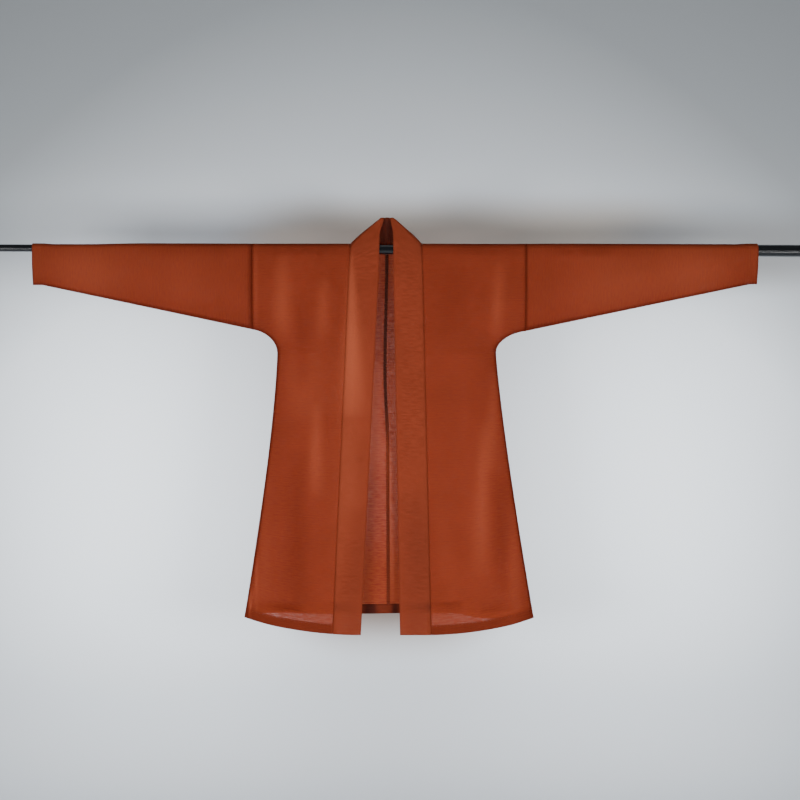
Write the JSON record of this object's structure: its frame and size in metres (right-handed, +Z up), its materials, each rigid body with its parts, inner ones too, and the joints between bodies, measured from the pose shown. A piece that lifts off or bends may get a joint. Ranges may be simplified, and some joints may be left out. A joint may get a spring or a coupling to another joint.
{
  "type": "open-front jacket on a display rod",
  "caption": "Sheer rust linen open-front jacket with a collar band from hem to hem, hung flat by its sleeves on a black telescopic rod.",
  "frame": {"origin": "on the rod's axis at the middle of the jacket, where the rod carries it", "axes": "+Z up, the jacket's front faces -Y, the wearer's left is +X, and the rod runs along X"},
  "size_m": [2.0841, 0.0442, 1.0403],
  "materials": {
    "linen": "sheer slubby plain-weave linen, rust red",
    "rod_lacquer": "gloss black lacquer on steel tube",
    "plug_plastic": "moulded black plastic"
  },
  "bodies": {
    "root": {"body_right": "linen", "body_left": "linen", "sleeve_right": "linen", "sleeve_left": "linen", "collar_band": "linen", "front_hem_right": "linen", "front_hem_left": "linen", "back_hem": "linen", "cuff_hem_right": "linen", "cuff_hem_left": "linen", "centre_back_seam": "linen", "rod_thin": "rod_lacquer", "rod_middle": "rod_lacquer", "rod_thick": "rod_lacquer", "plug_thin": "plug_plastic", "plug_thick": "plug_plastic"}
  },
  "joints": []
}
